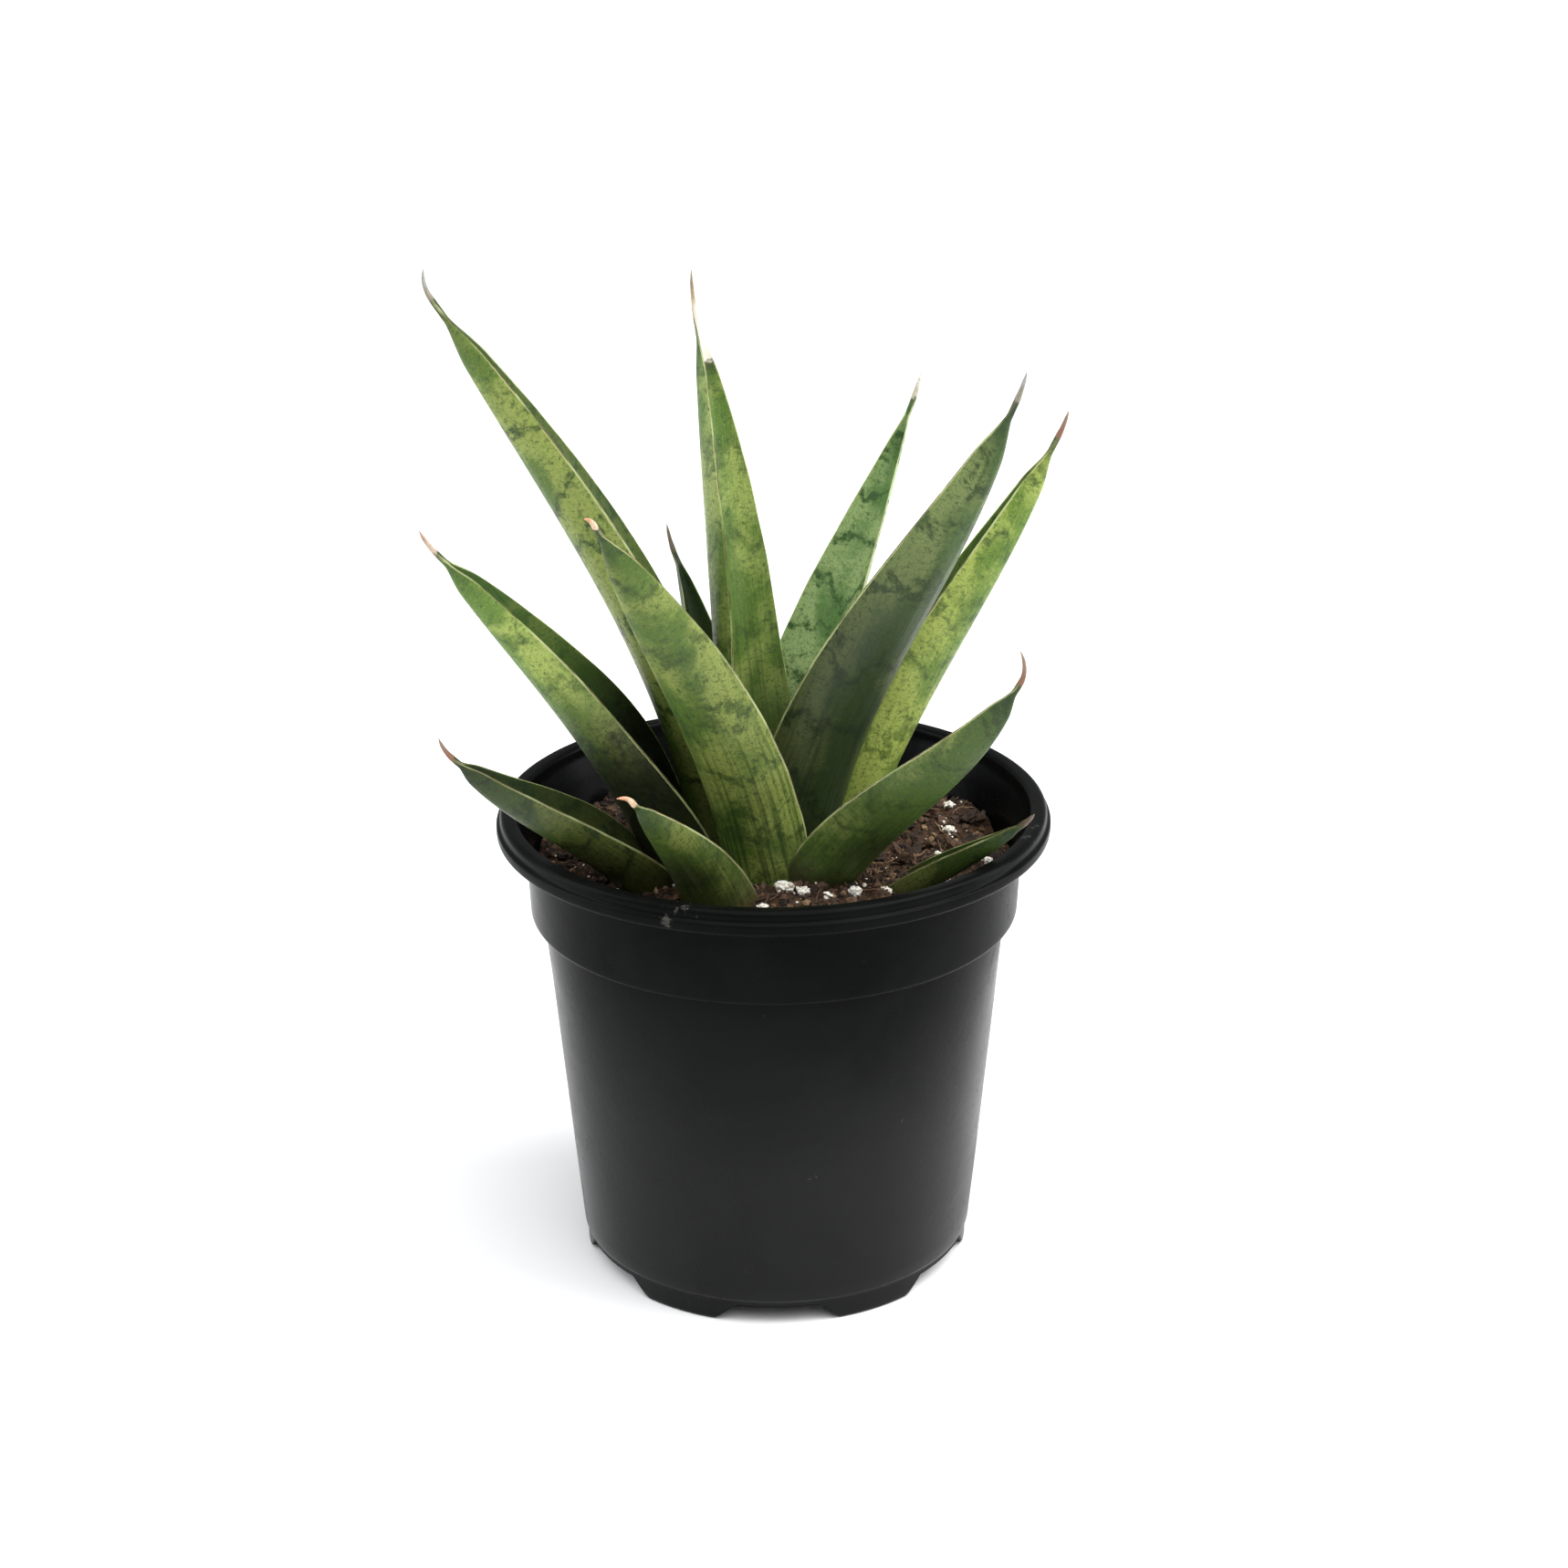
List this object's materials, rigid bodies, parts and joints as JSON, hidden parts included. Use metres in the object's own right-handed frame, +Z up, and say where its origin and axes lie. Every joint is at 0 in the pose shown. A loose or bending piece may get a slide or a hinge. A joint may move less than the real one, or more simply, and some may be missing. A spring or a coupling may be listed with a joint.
{
  "type": "potted snake plant",
  "caption": "Young snake plant with a rosette of channelled, pointed, mottled green leaves, in a round black nursery pot filled with potting soil.",
  "frame": {"origin": "the pot's axis, on the surface that the pot stands on", "axes": "+Z up along the pot's axis; -Y is the front, which the short front leaf faces; +X is to the right of the front view"},
  "size_m": [0.1274, 0.114, 0.212],
  "materials": {
    "pot_plastic": "satin black moulded plastic with dust and fine scuffs",
    "soil": "dark brown fibrous peat mix",
    "root": "pale orange-brown rhizome and roots",
    "leaf": "satin, mottled light and dark green with cream margins and dry brown tips",
    "perlite": "chalky off-white grains"
  },
  "bodies": {
    "root": {"pot": "pot_plastic", "soil": "soil", "rhizome": "root", "leaf_slim_back_right": "leaf", "leaf_centre_back": "leaf", "leaf_tall_left": "leaf", "leaf_bright_right": "leaf", "leaf_broad_right": "leaf", "leaf_hidden_back": "leaf", "leaf_mid_left": "leaf", "leaf_broad_front": "leaf", "leaf_low_right": "leaf", "leaf_low_left": "leaf", "leaf_short_front": "leaf", "leaf_soil_right": "leaf", "perlite_01": "perlite", "perlite_02": "perlite", "perlite_03": "perlite", "perlite_04": "perlite", "perlite_05": "perlite", "perlite_06": "perlite", "perlite_07": "perlite", "perlite_08": "perlite", "perlite_09": "perlite", "perlite_10": "perlite", "perlite_11": "perlite", "perlite_12": "perlite", "perlite_13": "perlite", "perlite_14": "perlite", "perlite_15": "perlite", "perlite_16": "perlite", "perlite_17": "perlite", "perlite_18": "perlite", "perlite_19": "perlite", "perlite_20": "perlite", "perlite_21": "perlite", "peat_lump_01": "soil", "peat_lump_02": "soil", "peat_lump_03": "soil", "peat_lump_04": "soil", "peat_lump_05": "soil", "peat_lump_06": "soil", "peat_lump_07": "soil", "peat_lump_08": "soil"}
  },
  "joints": []
}
